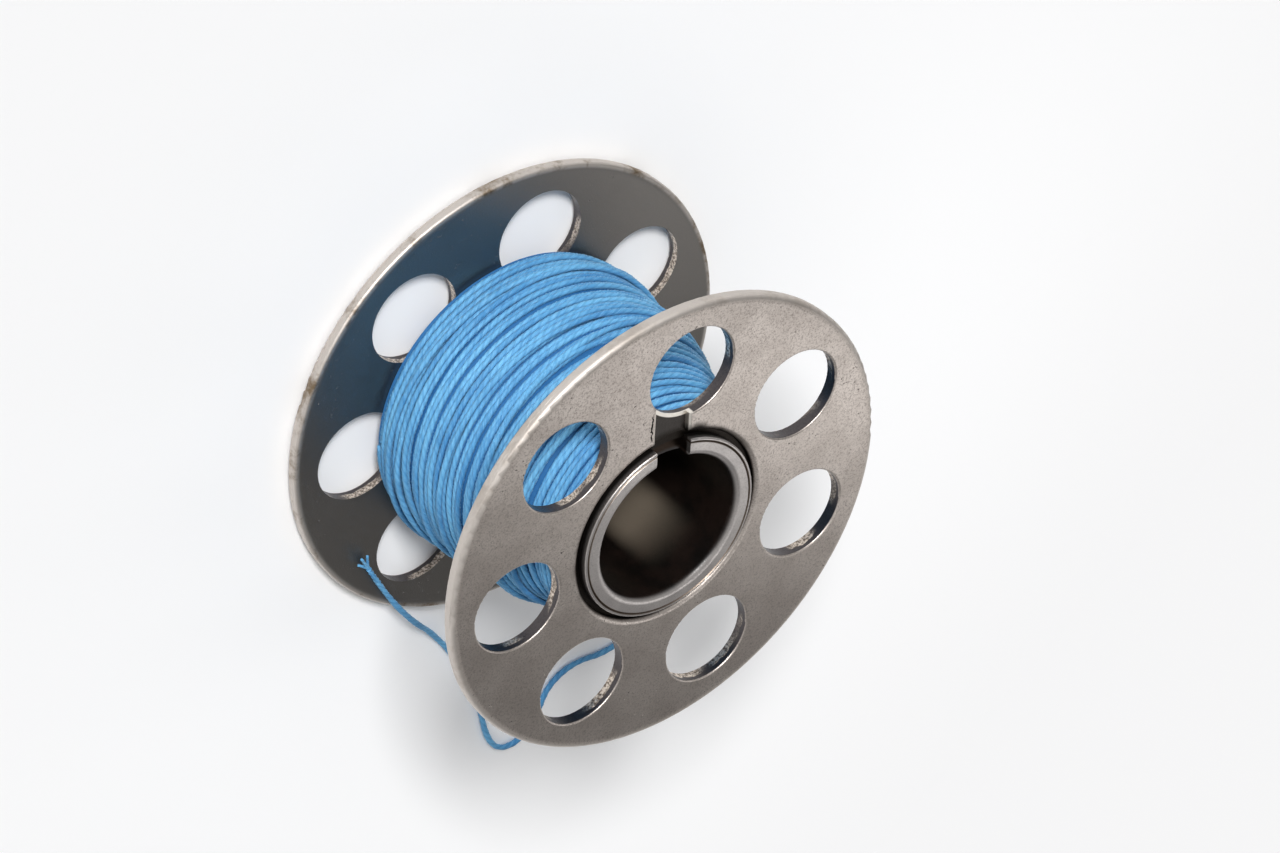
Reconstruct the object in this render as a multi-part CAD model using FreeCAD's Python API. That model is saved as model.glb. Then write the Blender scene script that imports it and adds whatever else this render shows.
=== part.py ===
"""Sewing machine bobbin: two pierced sheet flanges held on a turned core, wound with thread.

Millimetres. +Z runs along the bore. The bobbin stands on its lower lip at Z = 0, and the key
notch of the upper flange faces -Y.
"""
import FreeCAD
import Part
import math
import os

# Turned core
BORE_D = 6.5
SPIGOT_WALL = 0.7            # wall of the thin end that passes through a flange
SHOULDER = 0.9               # step from the spigot out to the core, which a flange seats on
LIP_PROUD = 0.15             # height of the spread lip above the flange's outer face
LIP_SPREAD = 0.13            # how far the lip is spread past its spigot
LIP_BEAD_R = 0.07            # rounding of the lip's outer edge
LIP_MOUTH_R = 0.28           # rounding of the bore's mouth
CREASE_INSET = 0.15          # crease that the spreading tool leaves inside the lip's outer edge
CREASE_WIDTH = 0.1
CREASE_DEPTH = 0.06

# Flange stampings
FLANGE_D = 20.6
FLANGE_SHEET = 0.54
WIDTH_OVER_FLANGES = 11.1    # outer face to outer face
HUB_RECESS = 0.28            # depth of the recess that the lip is spread into, and of the key channel
HUB_EDGE_R = 0.25            # rounding of the recess's edge on the outer face
RIM_OUTER_R = 0.2            # rounding of the rim on the outer face
RIM_INNER_R = 0.12           # rounding of the rim on the thread side
HOLE_COUNT = 7
HOLE_D = 4.0
HOLE_EDGE_R = 0.08           # roll-over that the punch leaves on the outer face
HOLES_INSET = 0.225          # pitch circle inside the middle of the flange's flat
KEY_WIDTH = 1.62
KEY_EDGE_R = 0.12            # roll-over along the key channel
KEY_FROM_HOLE = 6.5          # degrees between the key channel and the hole that it opens into
UPPER_KEY_ANGLE = -90.0      # degrees round from +X
LOWER_KEY_ANGLE = -107.35    # the lower stamping's holes then stand 4.3 degrees behind the upper's

# Thread
THREAD_D = 0.3
WOUND_DEPTH = 1.68           # winding's greatest thickness over the core
WOUND_SHAPE = [              # share of the way to the upper flange, and share of that thickness
    (0.0, 0.98),
    (0.1, 1.0),
    (0.25, 0.95),
    (0.45, 0.84),
    (0.58, 0.73),
    (0.68, 0.56),
    (0.78, 0.31),
    (0.84, 0.18),
    (0.9, 0.16),
    (1.0, 0.16),
]
RIDGE_PITCH = 0.4            # mean distance between the ridges that the turns form
RIDGE_DEPTH = 0.1
RIDGE_UNEVEN = 0.05          # how much the ridges differ in height
PITCH_UNEVEN = 0.22          # share by which the ridges differ in width
TAIL_BEND = 0.45             # share of the shorter run that each bend of the tail takes up

# Clearances
HUB_CLEARANCE = 0.02         # flange hole round its spigot
LIP_CLEARANCE = 0.01         # lip over the floor of the recess
LIP_GAP = 0.22               # open groove between the lip and the recess's wall
THREAD_CLEARANCE = 0.02      # winding to core and flanges

# Route of the loose end: off the winding, over the lower rim, round on the table and back on the rim
TAIL_ROUTE = [
    (1.16, 6.61, 1.60),
    (-1.60, 7.35, 1.35),
    (-4.56, 8.50, 0.94),
    (-6.76, 9.90, 0.94),
    (-8.20, 11.60, 0.17),
    (-8.90, 14.00, 0.17),
    (-8.10, 16.20, 0.17),
    (-6.30, 17.05, 0.17),
    (-4.40, 16.75, 0.17),
    (-3.10, 17.40, 0.17),
    (-2.55, 18.75, 0.17),
    (-1.75, 19.80, 0.17),
    (-0.60, 19.80, 0.17),
    (0.10, 18.70, 0.17),
    (0.50, 16.70, 0.17),
    (1.55, 13.95, 0.17),
    (3.05, 11.60, 0.17),
    (4.59, 9.80, 0.94),
    (5.94, 7.80, 0.94),
    (6.84, 6.00, 0.94),
]

# Sizes that follow
bore_r = BORE_D / 2
spigot_r = bore_r + SPIGOT_WALL
core_r = spigot_r + SHOULDER
lip_r = spigot_r + LIP_SPREAD
flange_r = FLANGE_D / 2
hub_hole_r = spigot_r + HUB_CLEARANCE
height = WIDTH_OVER_FLANGES + 2 * LIP_PROUD
lower_seat = LIP_PROUD + FLANGE_SHEET
upper_seat = height - lower_seat
recess_r = lip_r + LIP_GAP
hub_flat_r = recess_r + HUB_EDGE_R
hole_pitch_r = (hub_flat_r + flange_r) / 2 - HOLES_INSET


def point(radius, z):
    return FreeCAD.Vector(radius, 0, z)


def line(start, end):
    return Part.LineSegment(start, end).toShape()


def arc(start, centre, end):
    """Shorter arc from start to end about a centre."""
    middle = (start - centre) + (end - centre)
    middle.Length = start.distanceToPoint(centre)
    return Part.Arc(start, centre + middle, end).toShape()


def turned(edges):
    """Solid that a closed profile sweeps about the bore's axis."""
    face = Part.Face(Part.Wire(edges))
    return face.revolve(FreeCAD.Vector(0, 0, 0), FreeCAD.Vector(0, 0, 1), 360)


def closed_profile(points, roundings):
    """Edges round a list of points, with an arc in place of each corner named in roundings."""
    edges = []
    ends = []
    for i, corner in enumerate(points):
        radius = roundings.get(i, 0)
        if radius == 0:
            ends.append((corner, corner))
            continue
        before = (points[i - 1] - corner).normalize() * radius
        after = (points[(i + 1) % len(points)] - corner).normalize() * radius
        ends.append((corner + before, corner + after))
        edges.append(arc(corner + before, corner + before + after, corner + after))
    for i, (entry, leave) in enumerate(ends):
        edges.append(line(leave, ends[(i + 1) % len(ends)][0]))
    return Part.__sortEdges__(edges)


def key_cutter(key_angle, z_low, z_high, reach):
    cutter = Part.makeBox(reach, KEY_WIDTH, z_high - z_low, FreeCAD.Vector(0, -KEY_WIDTH / 2, z_low))
    cutter.rotate(FreeCAD.Vector(0, 0, 0), FreeCAD.Vector(0, 0, 1), key_angle)
    return cutter


def punch_section(half_width, roll_over, low):
    """Half section of a punch down to a height, flared where the sheet rolls over at the outer face."""
    wide = half_width + roll_over
    high = 2 * FLANGE_SHEET
    rolled = FLANGE_SHEET - roll_over
    flare_end = point(wide, FLANGE_SHEET)
    return [
        line(point(0, low), point(half_width, low)),
        line(point(half_width, low), point(half_width, rolled)),
        arc(point(half_width, rolled), point(wide, rolled), flare_end),
        line(flare_end, point(wide, high)),
        line(point(wide, high), point(0, high)),
        line(point(0, high), point(0, low)),
    ]


def hole_centre(number):
    """Place of a hole in a stamping whose key channel points towards +X."""
    angle = math.radians(360 * number / HOLE_COUNT - KEY_FROM_HOLE)
    return FreeCAD.Vector(hole_pitch_r * math.cos(angle), hole_pitch_r * math.sin(angle), 0)


def channel_punch():
    """Punch of the key channel, which runs from the recess into the nearest hole."""
    floor = FLANGE_SHEET - HUB_RECESS
    face = Part.Face(Part.Wire(punch_section(KEY_WIDTH / 2, KEY_EDGE_R, floor)))
    half = face.extrude(FreeCAD.Vector(0, -hole_centre(0).x, 0))
    whole = half.fuse(half.mirror(FreeCAD.Vector(0, 0, 0), FreeCAD.Vector(1, 0, 0))).removeSplitter()
    whole.rotate(FreeCAD.Vector(0, 0, 0), FreeCAD.Vector(0, 0, 1), 90)
    return whole


def flange():
    """Stamping with its thread side at Z = 0 and its key channel towards +X."""
    floor = FLANGE_SHEET - HUB_RECESS
    section = [
        point(hub_hole_r, 0),
        point(flange_r, 0),
        point(flange_r, FLANGE_SHEET),
        point(recess_r, FLANGE_SHEET),
        point(recess_r, floor),
        point(hub_hole_r, floor),
    ]
    disc = turned(closed_profile(section, {1: RIM_INNER_R, 2: RIM_OUTER_R, 3: HUB_EDGE_R}))
    cutters = [channel_punch()]
    for i in range(HOLE_COUNT):
        hole = turned(punch_section(HOLE_D / 2, HOLE_EDGE_R, -FLANGE_SHEET))
        hole.translate(hole_centre(i))
        cutters.append(hole)
    return disc.cut(cutters)


def upper_flange():
    solid = flange()
    solid.rotate(FreeCAD.Vector(0, 0, 0), FreeCAD.Vector(0, 0, 1), UPPER_KEY_ANGLE)
    solid.translate(FreeCAD.Vector(0, 0, upper_seat))
    return solid


def lower_flange():
    solid = flange()
    solid.rotate(FreeCAD.Vector(0, 0, 0), FreeCAD.Vector(1, 0, 0), 180)
    solid.rotate(FreeCAD.Vector(0, 0, 0), FreeCAD.Vector(0, 0, 1), LOWER_KEY_ANGLE)
    solid.translate(FreeCAD.Vector(0, 0, lower_seat))
    return solid


def lip_edges(end_z, inward):
    """Profile of one spread lip, from the bore's mouth round to the spigot; inward is -1 at the top."""
    foot_z = end_z + inward * (LIP_PROUD + HUB_RECESS - LIP_CLEARANCE)
    crease_r = lip_r - CREASE_INSET
    mouth = point(bore_r, end_z + inward * LIP_MOUTH_R)
    bead = point(lip_r - LIP_BEAD_R, end_z)
    wall = point(lip_r, end_z + inward * LIP_BEAD_R)
    neck = point(spigot_r, foot_z)
    land = [
        point(bore_r + LIP_MOUTH_R, end_z),
        point(crease_r - CREASE_WIDTH / 2, end_z),
        point(crease_r, end_z + inward * CREASE_DEPTH),
        point(crease_r + CREASE_WIDTH / 2, end_z),
        bead,
    ]
    edges = [line(start, end) for start, end in zip(land, land[1:])]
    edges.append(arc(mouth, point(land[0].x, mouth.z), land[0]))
    edges.append(arc(bead, point(bead.x, wall.z), wall))
    edges.append(line(wall, point(lip_r, foot_z)))
    edges.append(line(point(lip_r, foot_z), neck))
    return edges, mouth, neck


def core_tube():
    low_lip, low_mouth, low_neck = lip_edges(0, 1)
    high_lip, high_mouth, high_neck = lip_edges(height, -1)
    edges = low_lip + [
        line(low_neck, point(spigot_r, lower_seat)),
        line(point(spigot_r, lower_seat), point(core_r, lower_seat)),
        line(point(core_r, lower_seat), point(core_r, upper_seat)),
        line(point(core_r, upper_seat), point(spigot_r, upper_seat)),
        line(point(spigot_r, upper_seat), high_neck),
        line(high_mouth, low_mouth),
    ] + high_lip
    tube = turned(Part.__sortEdges__(edges))
    reach = 2 * lip_r
    return tube.cut([
        key_cutter(UPPER_KEY_ANGLE, upper_seat, 2 * height, reach),
        key_cutter(LOWER_KEY_ANGLE, -height, lower_seat, reach),
    ])


def ridge_widths(total):
    """Uneven widths of the ridges, side by side over the whole winding."""
    count = round(total / RIDGE_PITCH)
    widths = [1 + PITCH_UNEVEN * math.sin(2.4 * i) for i in range(count)]
    return [width * total / sum(widths) for width in widths]


def wound_radius(share):
    """Radius over the winding at a share of the way from the lower flange to the upper one."""
    for (from_share, from_depth), (to_share, to_depth) in zip(WOUND_SHAPE, WOUND_SHAPE[1:]):
        if share <= to_share:
            break
    depth = from_depth + (to_depth - from_depth) * (share - from_share) / (to_share - from_share)
    return core_r + WOUND_DEPTH * depth


def thread_winding():
    """The wound thread as one solid, with the rounded ridges of its turns side by side."""
    inner_r = core_r + THREAD_CLEARANCE
    low = lower_seat + THREAD_CLEARANCE
    total = upper_seat - THREAD_CLEARANCE - low
    valley = point(wound_radius(0) - RIDGE_DEPTH, low)
    edges = [line(point(inner_r, low), valley)]
    done = 0
    for i, width in enumerate(ridge_widths(total)):
        middle = done + width / 2
        crest = point(wound_radius(middle / total) + RIDGE_UNEVEN * math.sin(1.7 * i), low + middle)
        done += width
        next_valley = point(wound_radius(done / total) - RIDGE_DEPTH, low + done)
        edges.append(Part.Arc(valley, crest, next_valley).toShape())
        valley = next_valley
    edges.append(line(valley, point(inner_r, valley.z)))
    edges.append(line(point(inner_r, valley.z), point(inner_r, low)))
    return turned(Part.__sortEdges__(edges))


def tail_path():
    """Straight runs of the tail's route, joined by tangent arcs."""
    route = [FreeCAD.Vector(*p) for p in TAIL_ROUTE]
    edges = []
    at = route[0]
    for before, corner, after in zip(route, route[1:], route[2:]):
        back = before - corner
        ahead = after - corner
        turn = math.pi - back.getAngle(ahead)
        tangent = TAIL_BEND * min(back.Length, ahead.Length)
        radius = tangent / math.tan(turn / 2)
        entry = corner + back.normalize() * tangent
        leave = corner + ahead.normalize() * tangent
        inside = (back + ahead).normalize()
        centre_distance = radius / math.cos(turn / 2)
        middle = corner + inside * (centre_distance - radius)
        edges.append(line(at, entry))
        edges.append(Part.Arc(entry, middle, leave).toShape())
        at = leave
    edges.append(line(at, route[-1]))
    return Part.Wire(edges)


def thread_tail():
    path = tail_path()
    start = path.Edges[0]
    section = Part.Wire(Part.Circle(
        start.valueAt(start.FirstParameter),
        start.tangentAt(start.FirstParameter),
        THREAD_D / 2,
    ).toShape())
    tube = path.makePipeShell([section], True, True)
    print("tail length", round(path.Length, 2), "volume ratio",
          round(tube.Volume / (math.pi * THREAD_D ** 2 / 4 * path.Length), 4))
    return tube


def main():
    os.makedirs("parts", exist_ok=True)
    nodes = {
        "upper_flange": upper_flange(),
        "lower_flange": lower_flange(),
        "core_tube": core_tube(),
        "thread_winding": thread_winding(),
        "thread_tail": thread_tail(),
    }
    for name, shape in nodes.items():
        shape.exportStep(os.path.join("parts", name + ".step"))


main()
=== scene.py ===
"""Looks of a metal sewing machine bobbin wound with blue thread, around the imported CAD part.

Metres, in the CAD frame: +Z runs along the bore, and the bobbin stands on the floor at Z = 0.
The materials measure places in millimetres. There, a named pair is where a feature starts to show
and where it shows in full.
"""
import math

import bpy
import numpy as np
from mathutils import Matrix, Vector


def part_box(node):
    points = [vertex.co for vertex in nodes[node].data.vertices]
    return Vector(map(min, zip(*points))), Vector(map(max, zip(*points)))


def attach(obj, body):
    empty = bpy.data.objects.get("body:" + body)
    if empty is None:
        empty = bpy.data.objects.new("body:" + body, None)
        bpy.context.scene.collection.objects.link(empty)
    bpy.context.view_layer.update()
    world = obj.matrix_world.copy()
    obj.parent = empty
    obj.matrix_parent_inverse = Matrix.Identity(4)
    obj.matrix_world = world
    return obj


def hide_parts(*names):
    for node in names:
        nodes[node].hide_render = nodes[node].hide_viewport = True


MM = 0.001
UP = (0.0, 0.0, 1.0)

# Camera, as the photograph's: it looks down on the upper flange and is rolled about its own axis
CAMERA_AZIMUTH = 39.24
CAMERA_ELEVATION = 37.98
CAMERA_ROLL = -130.1
CAMERA_DISTANCE = 218.15 * MM
CAMERA_AIM = Vector((-2.18, -0.93, 6.545)) * MM
CAMERA_LENS = 155.4
CAMERA_SENSOR = 36
CAMERA_NEAREST = 10 * MM

# Light: a soft sun, a small lamp that the upper flange mirrors by its notch, a sky and a pale floor
SUN_DIRECTION = (0.342, -0.733, 0.588)
SUN_STRENGTH = 3.06
SUN_ANGLE = 14.25            # how wide the sun is, in degrees
PLATE_LIGHT_DIRECTION = (-0.50, 0.61, 0.615)
PLATE_LIGHT_LONG_SIDE = (-0.92, 0.40, 0)
PLATE_LIGHT_AIM = Vector((-0.6, -8.5, 11.25)) * MM
PLATE_LIGHT_DISTANCE = 32 * MM
PLATE_LIGHT_LENGTH = 32 * MM
PLATE_LIGHT_WIDTH = 9 * MM
PLATE_LIGHT_POWER = 0.0012
SKY_BRIGHT_SIDE = Vector((0.85, -0.45, 0.2)).normalized()
SKY_TURN = (-0.7, 0.8)       # cosines to that side at which the sky is dimmest and brightest
SKY_STRENGTHS = (0.13, 0.55)
HORIZON_STRENGTH = 0.92
HORIZON_TOP = (0.1, 0.4)     # sines of the heights between which the horizon turns into the sky
FLOOR_HALF = 1.5
FLOOR_COLOUR = (0.95, 0.95, 0.955, 1)

# Sizes of the CAD part that the materials follow, in millimetres and degrees
MID_HEIGHT = 5.7
BORE_R = 3.25
CREASE_R = 3.93              # crease that the spreading tool left in the lip
RECESS_R = 4.30              # recess that the lip lies in
FLANGE_R = 10.3
HOLE_R = 2.0
HOLE_PITCH_R = 7.2
KEY_FROM_HOLE = 6.5          # angle between a key notch and the hole that its channel opens into
UPPER_KEY_ANGLE = -90.0      # way that each flange's key notch points, from +X
LOWER_KEY_ANGLE = -107.35

# Flange: rim, and painted shade and darkening round the lip, by radius, key channel along and across its
# notch
RIM_BAND = (FLANGE_R - 0.28, FLANGE_R - 0.10)
RIM_ROUNDING = (FLANGE_R - 0.35, FLANGE_R - 0.20)
# painted shade in the recess that the lip lies in
RECESS_SHADE = (RECESS_R + 0.10, RECESS_R)
DARKENING_REACH = (RECESS_R + 0.48, RECESS_R + 0.12)
DARKENING_SIDE = 39.24           # way that the darkening spreads, in degrees from the notch
DARKENING_TURN = (-1.6, 0.4)     # how far out that way it begins and is full
BLOT_ALONG = 4.55            # middle of the blot beside the notch
BLOT_ACROSS = -1.35
BLOT_REACH = (1.0, 0.1)
BLOT_SPREAD = 0.2            # how much farther the darkening reaches there
CHANNEL_SIDES = (1.02, 0.95)
CHANNEL_START = (4.2, 4.35)
CHANNEL_END = (6.1, 5.9)
CHANNEL_MOUTH = (HOLE_R + 0.17, HOLE_R + 0.14)
DARK_LINE_ACROSS = 1.02
DARK_LINE_WIDTH = (0.05, 0.03)
DARK_LINE_START = (4.5, 4.7)
DARK_LINE_END = (5.9, 5.7)
DARK_LINE_SWING = 0.25
UPPER_RIM_WEAR = 0.25        # how strongly a rim is stained
LOWER_RIM_WEAR = 1.0

# Core: crease, and painted shade in the bore and on the notch's ledge, by radius, and the band of painted
# light in the bore
CREASE_REACH = (0.06, 0.035)
LEDGE_SINK = (5.55, 5.40)    # distance from the middle height, under the lip's top
LEDGE_REACH = (3.7, RECESS_R)
BORE_REACH = (BORE_R + 0.20, BORE_R + 0.01)
BAND_LIGHT_ANGLE = 120.0         # way from the axis to the band, in degrees from +X
BAND_LIGHT_REACH = (2.85, 3.22)
BAND_LIGHT_FADE = (4.6, -0.6)    # distance from the middle height

# Metal's colours and gloss
PLATE_ROUGHNESS = (0.34, 0.46)
RIM_ROUGHER = 0.16
PLATE_BUMP = 0.008 * MM
CORE_BUMP = 0.004 * MM
PLATE_DULL = (0.51, 0.455, 0.415, 1)
PLATE_CLEAN = (0.61, 0.55, 0.505, 1)
PLATE_GRAIN = (0.22, 0.19, 0.17, 1)
PLATE_PIT = (0.06, 0.05, 0.045, 1)
# painted shade on a flange's thread side, between the flanges
PLATE_THREAD_SIDE_SHADE = (0.25, 0.235, 0.22, 1)
RIM_PALE = (0.60, 0.555, 0.515, 1)
RIM_STAIN = (0.22, 0.16, 0.10, 1)
WALL_BURNISHED = (0.055, 0.05, 0.055, 1)
TORN_DARK = (0.20, 0.16, 0.13, 1)
TORN_BRIGHT = (0.80, 0.70, 0.60, 1)
# painted shade on the key channel's floor
CHANNEL_FLOOR_SHADE = (0.06, 0.054, 0.05, 1)
SHEARED_EDGE = (0.86, 0.81, 0.74, 1)
DARK_LINE_COLOUR = (0.02, 0.018, 0.016, 1)
# painted shade in the recess round the lip, and the darkening beside it
HUB_DARKENING = (0.02, 0.016, 0.013, 1)
CORE_DULL = (0.48, 0.45, 0.435, 1)
CORE_CLEAN = (0.57, 0.535, 0.515, 1)
CORE_GRAIN = (0.22, 0.2, 0.19, 1)
CREASE_GRIME = (0.09, 0.06, 0.035, 1)
# painted shade on the ledge under the key notch
LEDGE_SHADE_DEEP = (0.03, 0.02, 0.014, 1)
LEDGE_SHADE_SOFT = (0.11, 0.10, 0.095, 1)
# painted shade in the bore
BORE_SHADE_DARK = (0.003, 0.002, 0.0015, 1)
BORE_SHADE_BROWN = (0.010, 0.0055, 0.004, 1)
# painted light: a pale band down the bore
BORE_BAND_LIGHT = (0.28, 0.23, 0.175, 1)

# Thread's colours
THREAD_DEEP = (0.036, 0.205, 0.460, 1)
THREAD_PALE = (0.150, 0.450, 0.730, 1)
# pale fibres, partly wear and partly painted highlights
THREAD_FIBRE_WEAR_AND_HIGHLIGHT = (0.36, 0.67, 0.88, 1)
# painted shade in the grooves between the plies
THREAD_GROOVE_SHADE = (0.02, 0.13, 0.33, 1)
THREAD_SHEEN = (0.6, 0.85, 1.0, 1)
THREAD_BUMP = 0.02 * MM
# painted shade between the turns
BED_SHADE_DARK = (0.015, 0.10, 0.26, 1)
BED_SHADE_PALE = (0.03, 0.16, 0.38, 1)
STREAKS_PER_MM = 0.11
FIBRES_PER_MM = 1.6
FIBRES_ROUND = 26.0          # fibres on the way round a strand

# Thread's strand
THREAD_D = 0.30 * MM
PLIES = 3
PLY_DEPTH = 0.06             # how far the plies stand out, as a share of the thread's radius
PLY_LAY = 1.3 * MM           # length in which a ply goes once round the thread
SWELL = 0.05                 # share by which each of two waves swells the thread
SWELL_LENGTHS = (0.31 * MM, 0.83 * MM)
STRAND_SIDES = 9
STRAND_MAP = "strand"
STRAND_SHIFT = 170.0         # from one strand's map to the next, so that their streaks differ
RINGS_PER_MM = 5.8

# Winding
TURN_PITCH = 0.27 * MM
TURN_SWAY = 0.12 * MM        # how far the turns wander along the winding
TURN_UNEVEN = 0.07 * MM      # how far they wander in and out
END_UNEVEN = 0.05 * MM       # the same, where they lie against a flange
SWAY_PHASE = 1.3
UNEVEN_PHASE = 4.1
END_PHASE = 2.7
WANDER_WAVES = ((0.37, 0.36), (0.83, 0.28), (1.46, 0.22), (2.31, 0.14))    # pace and size
CORE_R = 4.87 * MM
BED_SIDES = 96
BED_DEPTH = 0.62             # how deep the bed lies, and its ridges, in thread diameters
BED_RIDGE = 0.2
BED_COVER = 0.02 * MM        # least thickness over the core
OUTLINE_SAMPLES = 400
WOUND_OUTLINE = [            # height and radius over the winding
    (0.71, 6.50),
    (1.71, 6.53),
    (3.20, 6.45),
    (5.20, 6.26),
    (6.50, 6.08),
    (7.50, 5.79),
    (8.50, 5.37),
    (9.10, 5.15),
    (9.70, 5.12),
    (10.69, 5.12),
]

# Strands that cross over the others: first turn, turns, first and last height, and phase of the sway
CROSSINGS = [
    (0.62, 1.1, 8.3, 5.9, 0.4),
    (0.15, 0.9, 4.4, 6.9, 1.1),
    (0.45, 1.2, 9.3, 7.4, 3.0),
    (0.90, 0.8, 2.2, 4.0, 5.2),
    (0.30, 1.0, 5.8, 4.6, 4.4),
    (0.70, 0.7, 6.4, 7.6, 6.1),
    (0.05, 1.1, 1.4, 2.9, 2.9),
]
CROSSING_SWAY = 0.08 * MM
CROSSING_CLIMB = 0.16        # share of a crossing in which it comes up or goes down
BURIED_LIFT = -1.2           # height of its ends and of its run over the outline, in thread diameters
RIDING_LIFT = 0.2
EXIT_TURNS = 1.3             # the crossing that ends as the loose end
EXIT_HEIGHT = 3.6 * MM
EXIT_PHASE = 2.2

# Route of the loose end, as the CAD tube's
TAIL_ROUTE = [
    (1.16, 6.61, 1.60),
    (-1.60, 7.35, 1.35),
    (-4.56, 8.50, 0.94),
    (-6.76, 9.90, 0.94),
    (-8.20, 11.60, 0.17),
    (-8.90, 14.00, 0.17),
    (-8.10, 16.20, 0.17),
    (-6.30, 17.05, 0.17),
    (-4.40, 16.75, 0.17),
    (-3.10, 17.40, 0.17),
    (-2.55, 18.75, 0.17),
    (-1.75, 19.80, 0.17),
    (-0.60, 19.80, 0.17),
    (0.10, 18.70, 0.17),
    (0.50, 16.70, 0.17),
    (1.55, 13.95, 0.17),
    (3.05, 11.60, 0.17),
    (4.59, 9.80, 0.94),
    (5.94, 7.80, 0.94),
    (6.84, 6.00, 0.94),
]
TAIL_RESOLUTION = 14

# Plies that have come untwisted at its end: reach, and spread aside and up, in millimetres
FRAYED_PLIES = [
    (0.85, 0.24, 0.06),
    (1.05, -0.05, 0.16),
    (0.70, -0.27, -0.02),
]
FRAY_D = 0.13 * MM
FRAY_OVERLAP = 0.1           # how far back in the tail they start, in millimetres
FRAY_BEND = 1.6              # power by which they spread
FRAY_POINTS = 14

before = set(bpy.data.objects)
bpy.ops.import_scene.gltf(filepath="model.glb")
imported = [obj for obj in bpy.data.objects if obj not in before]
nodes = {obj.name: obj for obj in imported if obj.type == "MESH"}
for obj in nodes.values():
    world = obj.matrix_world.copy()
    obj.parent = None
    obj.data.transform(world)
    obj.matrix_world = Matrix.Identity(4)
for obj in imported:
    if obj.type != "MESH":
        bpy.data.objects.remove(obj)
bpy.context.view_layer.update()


class NodeBuilder:
    """Builds a node tree by short calls. A value is a number, a colour or another node's output."""

    def __init__(self, tree):
        self.tree = tree

    def node(self, kind, **settings):
        made = self.tree.nodes.new(kind)
        for key, value in settings.items():
            setattr(made, key, value)
        return made

    def plug(self, value, socket):
        """Sets a socket to a number or colour, or links it to another node's output."""
        if isinstance(value, bpy.types.NodeSocket):
            self.tree.links.new(value, socket)
        else:
            socket.default_value = value

    def plug_all(self, values, sockets):
        for value, socket in zip(values, sockets):
            self.plug(value, socket)

    def math(self, operation, *values):
        made = self.node("ShaderNodeMath", operation=operation)
        self.plug_all(values, made.inputs)
        return made.outputs[0]

    def total(self, first, second):
        return self.math("ADD", first, second)

    def difference(self, first, second):
        return self.math("SUBTRACT", first, second)

    def distance(self, first, second):
        return self.math("ABSOLUTE", self.difference(first, second))

    def product(self, first, *others):
        for other in others:
            first = self.math("MULTIPLY", first, other)
        return first

    def towards(self, x, y, degrees):
        """How far a point lies in a direction, which is given in degrees from the first axis."""
        angle = math.radians(degrees)
        return self.total(self.product(x, math.cos(angle)), self.product(y, math.sin(angle)))

    def mix(self, share, first, second):
        """Colour between two colours."""
        made = self.node("ShaderNodeMix", data_type="RGBA")
        self.plug_all((share, first, second), (made.inputs[0], made.inputs[6], made.inputs[7]))
        return made.outputs[2]

    def ramp(self, value, low, high, to_low=0.0, to_high=1.0):
        """Smooth step of a value from one range to another."""
        made = self.node("ShaderNodeMapRange", interpolation_type="SMOOTHSTEP")
        self.plug_all((value, low, high, to_low, to_high), made.inputs)
        return made.outputs[0]

    def vector(self, x, y):
        made = self.node("ShaderNodeCombineXYZ")
        self.plug_all((x, y), made.inputs)
        return made.outputs[0]

    def length(self, x, y):
        made = self.node("ShaderNodeVectorMath", operation="LENGTH")
        self.plug(self.vector(x, y), made.inputs[0])
        return made.outputs["Value"]

    def split(self, vector):
        made = self.node("ShaderNodeSeparateXYZ")
        self.plug(vector, made.inputs[0])
        return made.outputs

    def noise(self, place, scale, detail=2.0, roughness=0.5):
        made = self.node("ShaderNodeTexNoise")
        self.plug(place, made.inputs["Vector"])
        made.inputs["Scale"].default_value = scale
        made.inputs["Detail"].default_value = detail
        made.inputs["Roughness"].default_value = roughness
        return made.outputs["Fac"]

    def bump(self, height, distance):
        made = self.node("ShaderNodeBump")
        made.inputs["Strength"].default_value = 1.0
        made.inputs["Distance"].default_value = distance
        self.plug(height, made.inputs["Height"])
        return made.outputs[0]


class Shader(NodeBuilder):
    """A material with one surface."""

    def __init__(self, name):
        self.material = bpy.data.materials.new(name)
        self.material.use_nodes = True
        super().__init__(self.material.node_tree)
        self.surface = self.tree.nodes["Principled BSDF"]

    def set(self, **values):
        for key, value in values.items():
            self.plug(value, self.surface.inputs[key.replace("_", " ")])

    def millimetres(self):
        """Place in the CAD frame, in millimetres."""
        place = self.node("ShaderNodeTexCoord").outputs["Object"]
        scaled = self.node("ShaderNodeVectorMath", operation="SCALE")
        self.plug(place, scaled.inputs[0])
        scaled.inputs["Scale"].default_value = 1 / MM
        return scaled.outputs[0]


def add_object(name, data):
    made = bpy.data.objects.new(name, data)
    bpy.context.scene.collection.objects.link(made)
    return made


def add_mesh(name, vertices, faces, material):
    mesh = bpy.data.meshes.new(name)
    mesh.from_pydata(vertices, [], faces)
    mesh.materials.append(material)
    return add_object(name, mesh)


def hole_walls(shader, place, depth, facing, colour):
    """Punched walls: dark and burnished, and torn bright in patches towards the thread side."""
    wall = shader.ramp(facing, 0.55, 0.25)
    patch = shader.ramp(shader.noise(place, 0.45, detail=1.0), 0.44, 0.56)
    ragged = shader.total(depth, shader.product(shader.noise(place, 2.2), 0.7))
    torn = shader.product(wall, patch, shader.ramp(ragged, 0.72, 0.86))
    tear = shader.noise(place, 9.0, detail=3.0, roughness=0.7)
    torn_colour = shader.mix(shader.ramp(tear, 0.4, 0.6), TORN_DARK, TORN_BRIGHT)
    colour = shader.mix(shader.product(wall, 0.92), colour, WALL_BURNISHED)
    return shader.mix(torn, colour, torn_colour), shader.product(torn, tear)


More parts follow.
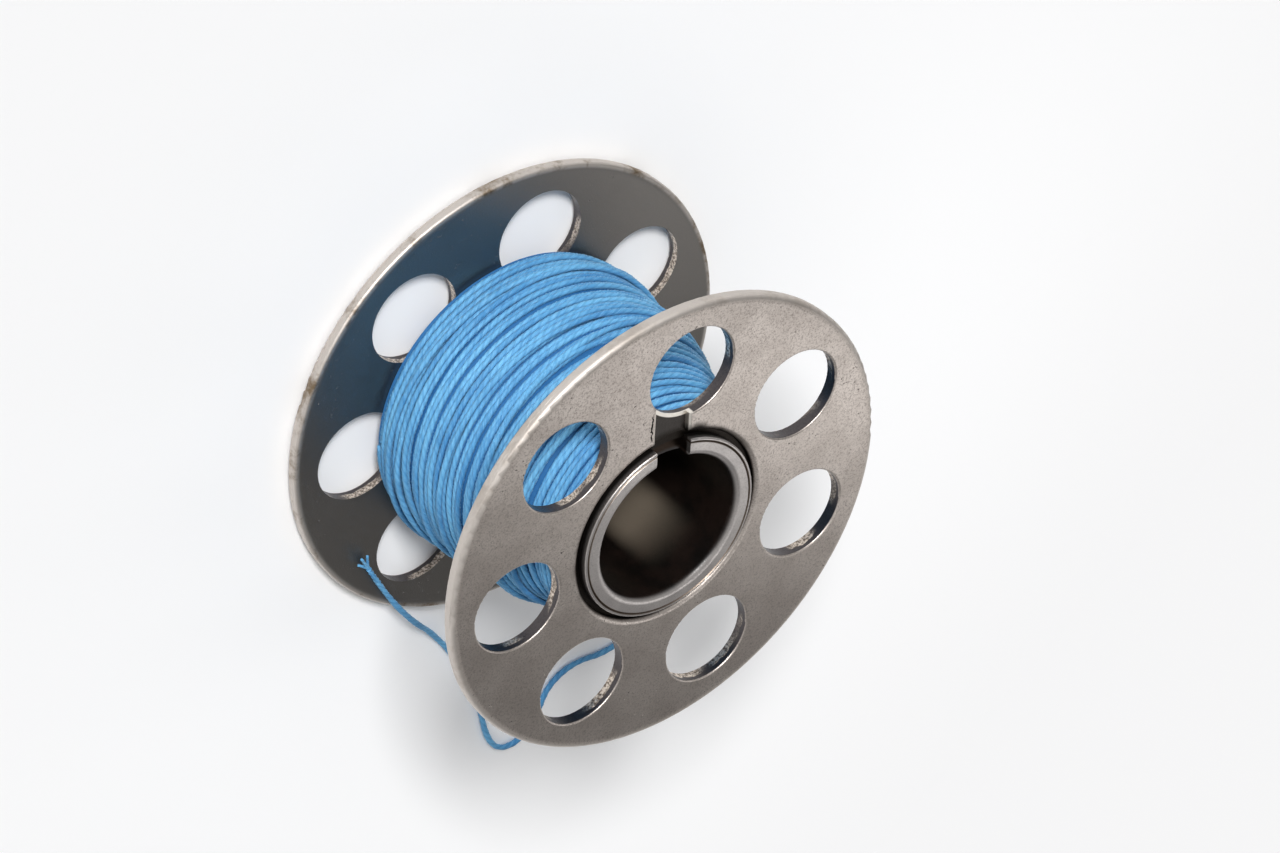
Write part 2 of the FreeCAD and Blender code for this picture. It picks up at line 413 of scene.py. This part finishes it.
def key_channel(shader, place, notch, hole_side, depth, facing, colour):
    """Key channel: a floor painted dark with shade, bright sheared edges, and a ragged dark line along one
    side.
    """
    along, across = notch
    near = shader.product(shader.ramp(shader.math("ABSOLUTE", across), *CHANNEL_SIDES),
                          shader.ramp(along, *CHANNEL_START), shader.ramp(along, *CHANNEL_END))
    floor = shader.product(near, shader.ramp(facing, 0.8, 0.95), shader.ramp(depth, 0.3, 0.4),
                           shader.ramp(depth, 0.8, 0.7))
    hole_angle = math.radians(KEY_FROM_HOLE * hole_side)
    from_hole = shader.length(shader.difference(along, HOLE_PITCH_R * math.cos(hole_angle)),
                              shader.difference(across, HOLE_PITCH_R * math.sin(hole_angle)))
    mouth = shader.product(floor, shader.ramp(from_hole, *CHANNEL_MOUTH))
    walls = shader.product(near, shader.ramp(facing, 0.98, 0.90), shader.ramp(depth, 0.7, 0.6))
    # painted shade: the channel's floor is darkened
    colour = shader.mix(floor, colour, CHANNEL_FLOOR_SHADE)
    colour = shader.mix(shader.math("MAXIMUM", walls, mouth), colour, SHEARED_EDGE)
    # a ragged dark line along one side of the channel
    swing = shader.product(shader.difference(shader.noise(place, 5.0), 0.5), DARK_LINE_SWING)
    off_line = shader.distance(shader.total(across, swing), DARK_LINE_ACROSS)
    dark_line = shader.product(shader.ramp(off_line, *DARK_LINE_WIDTH), shader.ramp(along, *DARK_LINE_START),
                          shader.ramp(along, *DARK_LINE_END))
    return shader.mix(dark_line, colour, DARK_LINE_COLOUR)


def hub_darkening(shader, place, notch, radius, colour):
    """Painted shade in the recess round the lip, and a darkening of the flange that reaches farther out on
    one side of the notch, most of all by a blot beside it.
    """
    along, across = notch
    off_blot = shader.total(shader.distance(across, BLOT_ACROSS), shader.distance(along, BLOT_ALONG))
    spread = shader.product(shader.ramp(off_blot, *BLOT_REACH), BLOT_SPREAD)
    uneven = shader.product(shader.noise(place, 1.1, detail=3.0), 0.3)
    darkening_radius = shader.total(shader.difference(radius, spread), uneven)
    one_side = shader.ramp(shader.towards(along, across, DARKENING_SIDE), *DARKENING_TURN)
    darkened = shader.product(shader.ramp(darkening_radius, *DARKENING_REACH), one_side)
    # painted shade: the recess round the lip is darkened, together with the darkening beside it
    darkening = shader.math("MAXIMUM", darkened, shader.ramp(radius, *RECESS_SHADE))
    return shader.mix(darkening, colour, HUB_DARKENING)


def flange_plate(name, outer, inner, key_angle, hole_side, rim_wear):
    """Worn satin nickel plate of a flange, whose outer and thread side lie at these heights, with painted
    shade on its thread side.

    Seen from above, the notch's hole lies anticlockwise of it where hole_side is 1, and clockwise at -1.
    """
    shader = Shader(name)
    place = shader.millimetres()
    x, y, z = shader.split(place)
    radius = shader.length(x, y)
    notch = shader.towards(x, y, key_angle), shader.towards(x, y, key_angle + 90)
    facing = shader.math("ABSOLUTE", shader.split(shader.node("ShaderNodeTexCoord").outputs["Normal"])[2])
    depth = shader.ramp(z, outer / MM, inner / MM)
    mottle = shader.noise(place, 0.6, detail=4.0, roughness=0.6)
    grain = shader.noise(place, 14.0, detail=3.0, roughness=0.65)
    specks = shader.total(shader.noise(place, 6.5, roughness=0.6), shader.product(mottle, 0.3))
    pits = shader.ramp(specks, 0.84, 0.91)

    colour = shader.mix(shader.ramp(mottle, 0.3, 0.7), PLATE_DULL, PLATE_CLEAN)
    colour = shader.mix(shader.ramp(grain, 0.44, 0.70, 0.0, 0.6), colour, PLATE_GRAIN)
    colour = shader.mix(shader.product(pits, 0.85), colour, PLATE_PIT)
    # painted shade: the flat thread side of the flange is darkened
    thread_side_shade = shader.product(shader.ramp(depth, 0.75, 0.95), shader.ramp(facing, 0.6, 0.9))
    colour = shader.mix(thread_side_shade, colour, PLATE_THREAD_SIDE_SHADE)
    colour, torn = hole_walls(shader, place, depth, facing, colour)
    blotches = shader.noise(place, 0.4, detail=5.0, roughness=0.7)
    rim_colour = shader.mix(shader.ramp(blotches, 0.48, 0.64, 0.0, rim_wear), RIM_PALE, RIM_STAIN)
    colour = shader.mix(shader.ramp(radius, *RIM_BAND), colour, rim_colour)
    colour = key_channel(shader, place, notch, hole_side, depth, facing, colour)
    colour = hub_darkening(shader, place, notch, radius, colour)

    rounding = shader.ramp(radius, *RIM_ROUNDING)
    roughness = shader.ramp(grain, 0.2, 0.8, *PLATE_ROUGHNESS)
    roughness = shader.total(roughness, shader.product(rounding, RIM_ROUGHER))
    height = shader.difference(grain, shader.product(pits, 1.5))
    height = shader.product(height, shader.difference(1.0, shader.product(rounding, 0.9)))
    height = shader.total(height, shader.product(torn, 3.0))
    shader.set(Base_Color=colour, Metallic=1.0, Roughness=roughness)
    shader.set(Normal=shader.bump(height, PLATE_BUMP))
    return shader.material


def core_plate(name):
    """The core's plate: a clean lip, dirt in its crease, painted shade on the notch's ledge, and in the
    bore painted shade, brown in patches, with a band of painted light.
    """
    shader = Shader(name)
    place = shader.millimetres()
    x, y, z = shader.split(place)
    radius = shader.length(x, y)
    from_middle = shader.distance(z, MID_HEIGHT)
    mottle = shader.noise(place, 0.8, detail=4.0, roughness=0.6)
    grain = shader.noise(place, 14.0, detail=3.0, roughness=0.6)

    colour = shader.mix(shader.ramp(mottle, 0.3, 0.7), CORE_DULL, CORE_CLEAN)
    colour = shader.mix(shader.ramp(grain, 0.4, 0.75, 0.0, 0.3), colour, CORE_GRAIN)
    crease = shader.ramp(shader.distance(radius, CREASE_R), *CREASE_REACH)
    colour = shader.mix(shader.product(crease, 0.85), colour, CREASE_GRIME)
    # painted shade: the core under the lip's top, with the ledge in the key notch, is darkened, most near
    # the bore
    ledge = shader.mix(shader.ramp(radius, *LEDGE_REACH), LEDGE_SHADE_DEEP, LEDGE_SHADE_SOFT)
    colour = shader.mix(shader.ramp(from_middle, *LEDGE_SINK), colour, ledge)
    # painted shade: the bore is darkened, brown in patches
    bore_shade = shader.mix(shader.ramp(mottle, 0.35, 0.65), BORE_SHADE_DARK, BORE_SHADE_BROWN)
    # painted light: a pale band down one side of the bore, fading towards its ends
    lit_band = shader.product(shader.ramp(shader.towards(x, y, BAND_LIGHT_ANGLE), *BAND_LIGHT_REACH),
                            shader.ramp(from_middle, *BAND_LIGHT_FADE))
    in_bore = shader.ramp(radius, *BORE_REACH)
    colour = shader.mix(in_bore, colour, shader.mix(lit_band, bore_shade, BORE_BAND_LIGHT))

    metal = shader.difference(1.0, shader.product(in_bore, 0.8))
    shader.set(Base_Color=colour, Metallic=metal, Roughness=shader.ramp(grain, 0.2, 0.8, *PLATE_ROUGHNESS))
    shader.set(Normal=shader.bump(grain, CORE_BUMP))
    return shader.material


def thread_material(name):
    """Twisted thread: the strand's own map gives the length along it and the way round its plies."""
    shader = Shader(name)
    along, around, _ = shader.split(shader.node("ShaderNodeUVMap", uv_map=STRAND_MAP).outputs[0])
    ply = shader.ramp(shader.math("COSINE", shader.product(around, 2 * math.pi * PLIES)), -1.0, 0.4)
    fibre_place = shader.vector(shader.product(along, FIBRES_PER_MM), shader.product(around, FIBRES_ROUND))
    fibres = shader.noise(fibre_place, 1.0, detail=3.0, roughness=0.65)
    streak_place = shader.vector(shader.product(along, STREAKS_PER_MM), 0.0)
    streaks = shader.noise(streak_place, 1.0, detail=4.0, roughness=0.7)

    colour = shader.mix(shader.ramp(streaks, 0.34, 0.66), THREAD_DEEP, THREAD_PALE)
    # pale fibre flecks: partly wear, partly painted highlights
    colour = shader.mix(shader.product(shader.ramp(fibres, 0.45, 0.75), 0.45), colour, THREAD_FIBRE_WEAR_AND_HIGHLIGHT)
    # painted shade: the grooves between the plies are darkened
    groove_shade = shader.product(shader.difference(1.0, ply), 0.32)
    colour = shader.mix(groove_shade, colour, THREAD_GROOVE_SHADE)
    shader.set(Base_Color=colour, Roughness=0.6, Specular_IOR_Level=0.35)
    shader.set(Sheen_Weight=0.25, Sheen_Roughness=0.4, Sheen_Tint=THREAD_SHEEN)
    height = shader.total(shader.product(ply, 0.4), shader.product(fibres, 0.8))
    shader.set(Normal=shader.bump(height, THREAD_BUMP))
    return shader.material


def bed_material(name):
    """Deeper turns of the thread, seen only between those that lie over them, painted dark as the shade
    between them.
    """
    shader = Shader(name)
    # painted shade: the deeper turns take the dark colour of the gaps
    colour = shader.mix(shader.noise(shader.millimetres(), 5.0, detail=3.0), BED_SHADE_DARK, BED_SHADE_PALE)
    shader.set(Base_Color=colour, Roughness=0.7, Specular_IOR_Level=0.3)
    return shader.material


def strand_arrays(points, diameter):
    """Vertices, quads and map of one twisted strand along points in metres."""
    tangent = np.gradient(points, axis=0)
    tangent /= np.linalg.norm(tangent, axis=1)[:, None]
    side = np.cross(tangent, UP)
    side /= np.linalg.norm(side, axis=1)[:, None]
    lift = np.cross(side, tangent)
    step = np.linalg.norm(np.diff(points, axis=0), axis=1)
    along = np.concatenate([[0.0], np.cumsum(step)])
    share = np.arange(STRAND_SIDES + 1) / STRAND_SIDES
    angle = 2 * np.pi * (share[None, :-1] + along[:, None] / PLY_LAY)
    plump = 1 + sum(SWELL * np.sin(along / length + phase) for phase, length in enumerate(SWELL_LENGTHS))
    plump /= 1 + SWELL * len(SWELL_LENGTHS)
    reach = diameter / 2 * (1 + PLY_DEPTH * np.cos(2 * np.pi * PLIES * share[:-1])) / (1 + PLY_DEPTH)
    ring = np.cos(angle)[..., None] * side[:, None] + np.sin(angle)[..., None] * lift[:, None]
    vertices = points[:, None] + ring * (plump[:, None] * reach[None, :])[..., None]
    row, column = np.meshgrid(np.arange(len(points) - 1), np.arange(STRAND_SIDES), indexing="ij")
    following = (column + 1) % STRAND_SIDES
    corners = [(row, column), (row, following), (row + 1, following), (row + 1, column)]
    quads = np.stack([r * STRAND_SIDES + c for r, c in corners], -1).reshape(-1, 4)
    map_corners = [(row, column), (row, column + 1), (row + 1, column + 1), (row + 1, column)]
    strand_map = np.stack([np.stack([along[r] / MM, share[c]], -1) for r, c in map_corners], -2)
    return vertices.reshape(-1, 3), quads, strand_map.reshape(-1, 2)


def strand_object(name, paths, material, diameter=THREAD_D):
    """One mesh of several strands, with capped ends."""
    vertices, faces, caps, maps = [], [], [], []
    start = 0
    for number, points in enumerate(paths):
        ring_vertices, quads, strand_map = strand_arrays(points, diameter)
        last = start + len(ring_vertices) - STRAND_SIDES
        vertices.append(ring_vertices)
        maps.append(strand_map + (STRAND_SHIFT * number, 0.0))
        faces += (quads + start).tolist()
        caps.append(list(range(start + STRAND_SIDES - 1, start - 1, -1)))
        caps.append(list(range(last, last + STRAND_SIDES)))
        start += len(ring_vertices)
    made = add_mesh(name, np.concatenate(vertices).tolist(), faces + caps, material)
    layer = made.data.uv_layers.new(name=STRAND_MAP)
    cap_map = np.zeros((len(caps) * STRAND_SIDES, 2))
    layer.data.foreach_set("uv", np.concatenate(maps + [cap_map]).ravel())
    polygons = made.data.polygons
    polygons.foreach_set("use_smooth", np.ones(len(polygons), bool))
    return made


def smooth(share):
    return share * share * (3 - 2 * share)


def wander(theta, phase):
    """Slow irregular swing, between about -1 and 1, that differs from one turn to the next."""
    return sum(size * np.sin(pace * theta + phase * (i + 1)) for i, (pace, size) in enumerate(WANDER_WAVES))


def helix(theta, radius, z):
    return np.stack([radius * np.cos(theta), radius * np.sin(theta), z], 1)


def wound_radius(z):
    heights, radii = np.array(WOUND_OUTLINE).T * MM
    return np.interp(z, heights, radii)


def ring_count(length):
    return int(length / MM * RINGS_PER_MM)


def turn_path(low, high):
    """The outer layer: one strand from flange to flange, lying unevenly beside itself."""
    heights = np.linspace(low, high, OUTLINE_SAMPLES)
    slope_length = np.hypot(np.diff(heights), np.diff(wound_radius(heights)))
    covered = np.concatenate([[0.0], np.cumsum(slope_length)])
    turns = int(covered[-1] / TURN_PITCH)
    theta = np.linspace(0, 2 * np.pi * turns, ring_count(turns * 2 * np.pi * wound_radius(heights).mean()))
    along = covered[-1] * theta / theta[-1] + TURN_SWAY * wander(theta, SWAY_PHASE)
    z = np.clip(np.interp(along, covered, heights), low, high)
    radius = wound_radius(z) - THREAD_D / 2 + TURN_UNEVEN * wander(theta, UNEVEN_PHASE)
    return helix(theta, radius, z)


def end_path(z, inner, outer):
    """Turns that lie against a flange, from the core out to the outer layer."""
    turns = int((outer - inner) / TURN_PITCH)
    theta = np.linspace(0, 2 * np.pi * turns, ring_count(turns * np.pi * (inner + outer)))
    radius = inner + (outer - inner) * theta / theta[-1] + END_UNEVEN * wander(theta, END_PHASE)
    return helix(theta, radius, np.full(len(theta), z))


def crossing_path(start_turn, turns, z_start, z_end, phase, end_lift=BURIED_LIFT):
    """A strand that comes up out of the layer and runs slanting over it."""
    length = turns * 2 * np.pi * wound_radius((z_start + z_end) / 2)
    share = np.linspace(0, 1, ring_count(length))
    theta = 2 * np.pi * (start_turn + turns * share)
    rise = smooth(np.clip(share / CROSSING_CLIMB, 0, 1))
    fall = smooth(np.clip((share - 1 + CROSSING_CLIMB) / CROSSING_CLIMB, 0, 1))
    lift = BURIED_LIFT + (RIDING_LIFT - BURIED_LIFT) * rise + (end_lift - RIDING_LIFT) * fall
    z = z_start + (z_end - z_start) * smooth(share) + CROSSING_SWAY * wander(theta, phase) * (1 - fall)
    return helix(theta, wound_radius(z) + lift * THREAD_D, z)


def bed_object(low, high, material):
    """Surface of the deeper turns, closed on the core."""
    count = int((high - low) / TURN_PITCH)
    section = [(CORE_R, low)]
    for i in range(count + 1):
        z = low + (high - low) * i / count
        sunk = wound_radius(z) - THREAD_D * (BED_DEPTH + BED_RIDGE * (i % 2))
        section.append((max(sunk, CORE_R + BED_COVER), z))
    section.append((CORE_R, high))
    size = len(section)
    vertices, faces = [], []
    for i in range(BED_SIDES):
        angle = 2 * math.pi * i / BED_SIDES
        vertices += [(r * math.cos(angle), r * math.sin(angle), z) for r, z in section]
        ahead = (i + 1) % BED_SIDES
        for j in range(size):
            above = (j + 1) % size
            faces.append((i * size + j, ahead * size + j, ahead * size + above, i * size + above))
    return add_mesh("thread_bed", vertices, faces, material)


def tail_points():
    """Points along the smooth line that the tail's route controls."""
    curve = bpy.data.curves.new("tail_line", "CURVE")
    curve.dimensions = "3D"
    spline = curve.splines.new("NURBS")
    spline.points.add(len(TAIL_ROUTE) - 1)
    for point, place in zip(spline.points, TAIL_ROUTE):
        point.co = (*(c * MM for c in place), 1.0)
    spline.order_u = 3
    spline.use_endpoint_u = True
    curve.resolution_u = TAIL_RESOLUTION
    holder = bpy.data.objects.new("tail_line", curve)
    mesh = bpy.data.meshes.new_from_object(holder)
    points = np.array([v.co for v in mesh.vertices])
    bpy.data.objects.remove(holder)
    return points


def fray_paths(points):
    """Plies that come apart past the end of the tail."""
    way = points[-1] - points[-2]
    way /= np.linalg.norm(way)
    side = np.cross(way, UP)
    share = np.linspace(0, 1, FRAY_POINTS)[:, None]
    paths = []
    for reach, aside, lift in FRAYED_PLIES:
        spread = (aside * side + lift * np.array(UP)) * share ** FRAY_BEND
        paths.append(points[-1] + MM * (way * (reach * share - FRAY_OVERLAP) + spread))
    return paths


def build_thread():
    strand = thread_material("blue_thread")
    low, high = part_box("thread_winding")
    first = low.z + THREAD_D / 2
    last = high.z - THREAD_D / 2
    exit_x, exit_y, exit_z = (c * MM for c in TAIL_ROUTE[0])
    exit_turn = math.atan2(exit_y, exit_x) / (2 * math.pi)
    exit_lift = (math.hypot(exit_x, exit_y) - wound_radius(exit_z)) / THREAD_D
    leaving = crossing_path(exit_turn - EXIT_TURNS, EXIT_TURNS, EXIT_HEIGHT, exit_z, EXIT_PHASE, exit_lift)
    crossings = [leaving]
    for start_turn, turns_over, from_height, to_height, phase in CROSSINGS:
        crossings.append(crossing_path(start_turn, turns_over, from_height * MM, to_height * MM, phase))
    turns = strand_object("thread_turns", [turn_path(first, last)], strand)
    end_turns = end_path(first, CORE_R + THREAD_D / 2, wound_radius(first) - THREAD_D)
    ends = strand_object("thread_end", [end_turns], strand)
    over = strand_object("thread_crossings", crossings, strand)
    bed = bed_object(low.z, high.z, bed_material("blue_thread_deep"))
    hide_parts("thread_winding")
    points = tail_points()
    tail = strand_object("loose_end", [points], strand)
    plies = strand_object("loose_plies", fray_paths(points), strand, FRAY_D)
    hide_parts("thread_tail")
    for piece in (turns, ends, over, bed, tail, plies):
        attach(piece, "root")


def dress_metal():
    upper_low, upper_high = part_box("upper_flange")
    lower_low, lower_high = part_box("lower_flange")
    finishes = {
        "upper_flange": flange_plate("plate_upper", upper_high.z, upper_low.z, UPPER_KEY_ANGLE,
                                     hole_side=-1, rim_wear=UPPER_RIM_WEAR),
        "lower_flange": flange_plate("plate_lower", lower_low.z, lower_high.z, LOWER_KEY_ANGLE,
                                     hole_side=1, rim_wear=LOWER_RIM_WEAR),
        "core_tube": core_plate("plate_core"),
    }
    for name, material in finishes.items():
        mesh = nodes[name].data
        mesh.materials.clear()
        mesh.materials.append(material)


def build_floor():
    shader = Shader("floor")
    shader.set(Base_Color=FLOOR_COLOUR, Roughness=0.9, Specular_IOR_Level=0.1)
    corners = [(x * FLOOR_HALF, y * FLOOR_HALF, 0) for x, y in ((-1, -1), (1, -1), (1, 1), (-1, 1))]
    floor = add_mesh("floor", corners, [(0, 1, 2, 3)], shader.material)


def build_world():
    """Bright round the horizon, and dimmer overhead, most of all away from the bright side."""
    world = bpy.data.worlds.new("studio")
    world.use_nodes = True
    sky = NodeBuilder(world.node_tree)
    direction = sky.node("ShaderNodeTexCoord").outputs["Generated"]
    to_bright_side = sky.node("ShaderNodeVectorMath", operation="DOT_PRODUCT")
    sky.plug_all((direction, SKY_BRIGHT_SIDE), to_bright_side.inputs)
    overhead = sky.ramp(to_bright_side.outputs["Value"], *SKY_TURN, *SKY_STRENGTHS)
    strength = sky.ramp(sky.split(direction)[2], *HORIZON_TOP, HORIZON_STRENGTH, overhead)
    background = world.node_tree.nodes["Background"]
    background.inputs["Color"].default_value = (1, 1, 1, 1)
    sky.plug(strength, background.inputs["Strength"])
    bpy.context.scene.world = world


def aimed_lamp(name, kind, power, direction, aim=(0, 0, 0), distance=1.0, long_side=(1, 0, 0)):
    """Lamp that stands in this direction from its aim, with its length along long_side."""
    lamp = bpy.data.lights.new(name, kind)
    lamp.energy = power
    made = add_object(name, lamp)
    away = Vector(direction).normalized()
    across = away.cross(Vector(long_side)).normalized()
    turn = Matrix((across.cross(away), across, away)).transposed()
    made.matrix_world = Matrix.Translation(Vector(aim) + away * distance) @ turn.to_4x4()
    made.visible_camera = False
    return lamp


def build_lamps():
    sun = aimed_lamp("key", "SUN", SUN_STRENGTH, SUN_DIRECTION)
    sun.angle = math.radians(SUN_ANGLE)
    plate_light = aimed_lamp("plate_light", "AREA", PLATE_LIGHT_POWER, PLATE_LIGHT_DIRECTION,
                             PLATE_LIGHT_AIM, PLATE_LIGHT_DISTANCE, PLATE_LIGHT_LONG_SIDE)
    plate_light.shape = "ELLIPSE"
    plate_light.size = PLATE_LIGHT_LENGTH
    plate_light.size_y = PLATE_LIGHT_WIDTH


def build_camera():
    azimuth, elevation = math.radians(CAMERA_AZIMUTH), math.radians(CAMERA_ELEVATION)
    back = Vector((math.sin(azimuth) * math.cos(elevation), -math.cos(azimuth) * math.cos(elevation),
                   math.sin(elevation)))
    right = Vector(UP).cross(back).normalized()
    level = Matrix((right, back.cross(right), back)).transposed()
    turn = level @ Matrix.Rotation(-math.radians(CAMERA_ROLL), 3, "Z")
    data = bpy.data.cameras.new("camera")
    data.lens = CAMERA_LENS
    data.sensor_width = CAMERA_SENSOR
    data.clip_start = CAMERA_NEAREST
    camera = add_object("camera", data)
    camera.matrix_world = Matrix.Translation(CAMERA_AIM + back * CAMERA_DISTANCE) @ turn.to_4x4()
    bpy.context.scene.camera = camera


bpy.context.scene.view_settings.view_transform = "Standard"
build_thread()
dress_metal()
build_floor()
build_world()
build_lamps()
build_camera()
